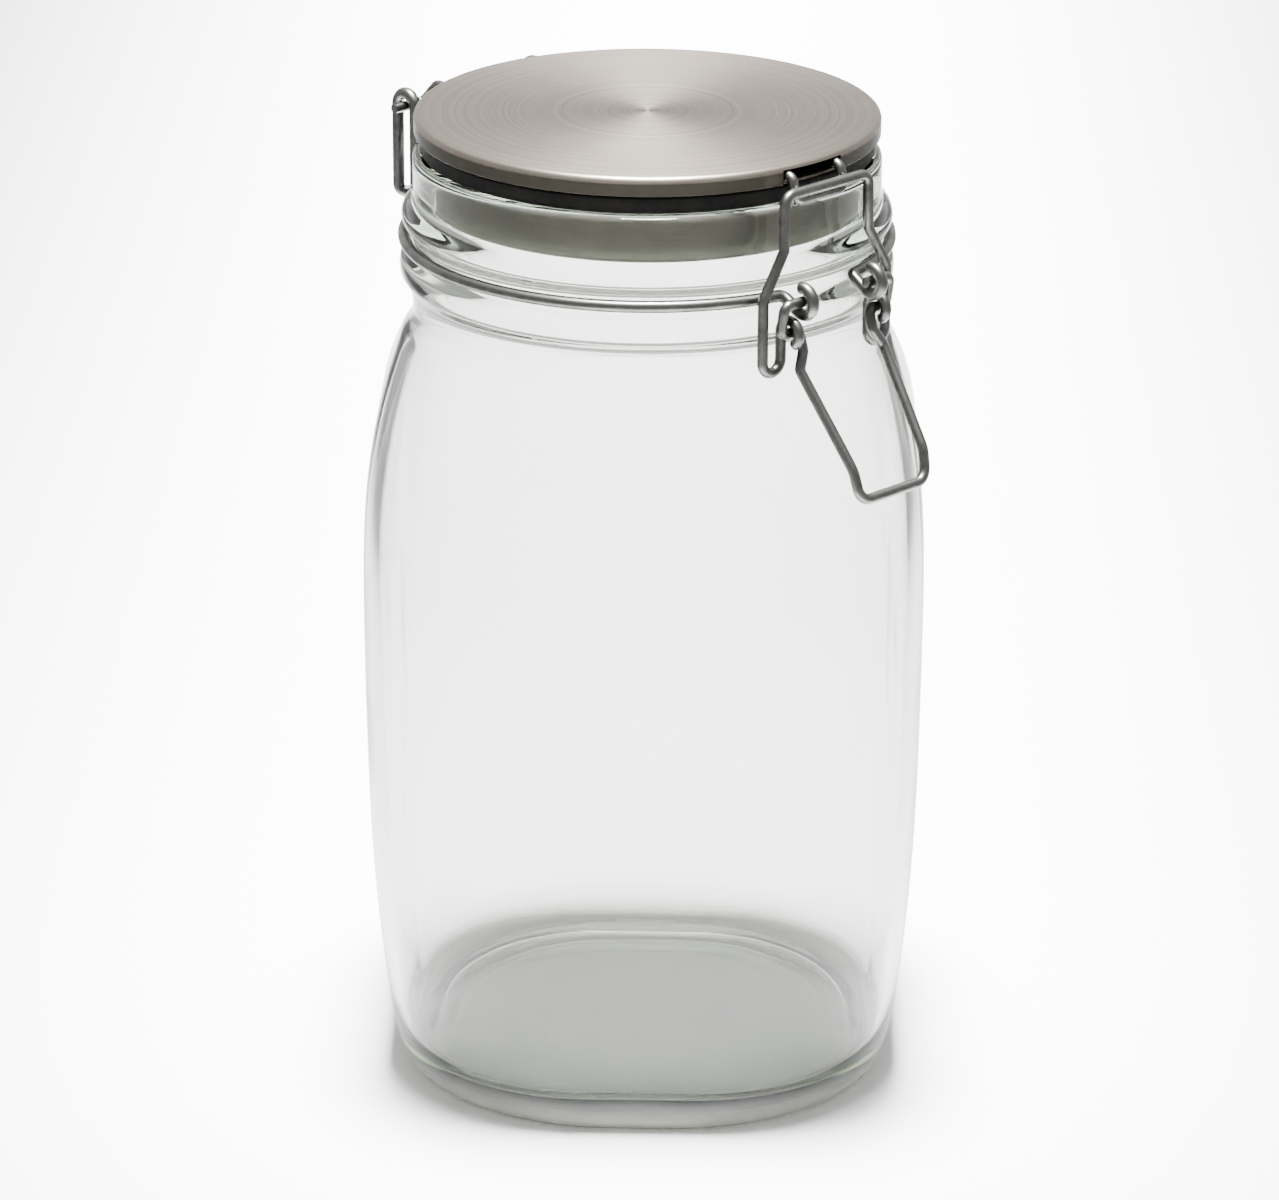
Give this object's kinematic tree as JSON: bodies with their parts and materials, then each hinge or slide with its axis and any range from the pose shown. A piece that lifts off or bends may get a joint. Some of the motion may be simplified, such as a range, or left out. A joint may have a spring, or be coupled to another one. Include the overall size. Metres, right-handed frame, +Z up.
{
  "type": "bail clamp jar",
  "caption": "Rounded-square glass storage jar with a round steel lid, rubber seal, wire hinge at one corner and a lever-and-bail wire clamp at the opposite corner.",
  "frame": {"origin": "middle of the base, on the plane the jar stands on", "axes": "+Z up through the lid; the flat sides of the body face along X and Y; the clamp is on the corner between +X and -Y and the hinge on the corner between -X and +Y"},
  "size_m": [0.1208, 0.1208, 0.2153],
  "materials": {
    "jar_glass": "clear pressed glass",
    "lid_steel": "fine circular brushing",
    "plug_steel": "satin pressed sheet",
    "seal_rubber": "matt black",
    "wire_steel": "bright drawn wire",
    "clamp_steel": "bright drawn wire"
  },
  "bodies": {
    "jar": {"jar_body": "jar_glass", "neck_wire": "wire_steel"},
    "lid": {"lid_disc": "lid_steel", "lid_plug": "plug_steel", "lid_gasket": "seal_rubber", "lid_wire": "wire_steel"},
    "lever": {"lever_wire": "clamp_steel"},
    "bail": {"bail_wire": "clamp_steel"}
  },
  "joints": [
    {"name": "lid_hinge", "type": "hinge", "parent": "jar", "child": "lid", "pos_m": [-0.0396, 0.0396, 0.2083], "axis": [-0.7071, -0.7071, 0], "range_deg": [0, 210]},
    {"name": "lever_pivot", "type": "hinge", "parent": "jar", "child": "lever", "pos_m": [0.04045, -0.04045, 0.1883], "axis": [-0.7071, -0.7071, 0], "range_deg": [0, 120]},
    {"name": "bail_pivot", "type": "hinge", "parent": "lever", "child": "bail", "pos_m": [0.03974, -0.03974, 0.1818], "axis": [-0.7071, -0.7071, 0], "range_deg": [-126, 0]}
  ],
  "couplings": [
    {"joint": "bail_pivot", "follows": "lever_pivot", "ratio": -1.05}
  ]
}
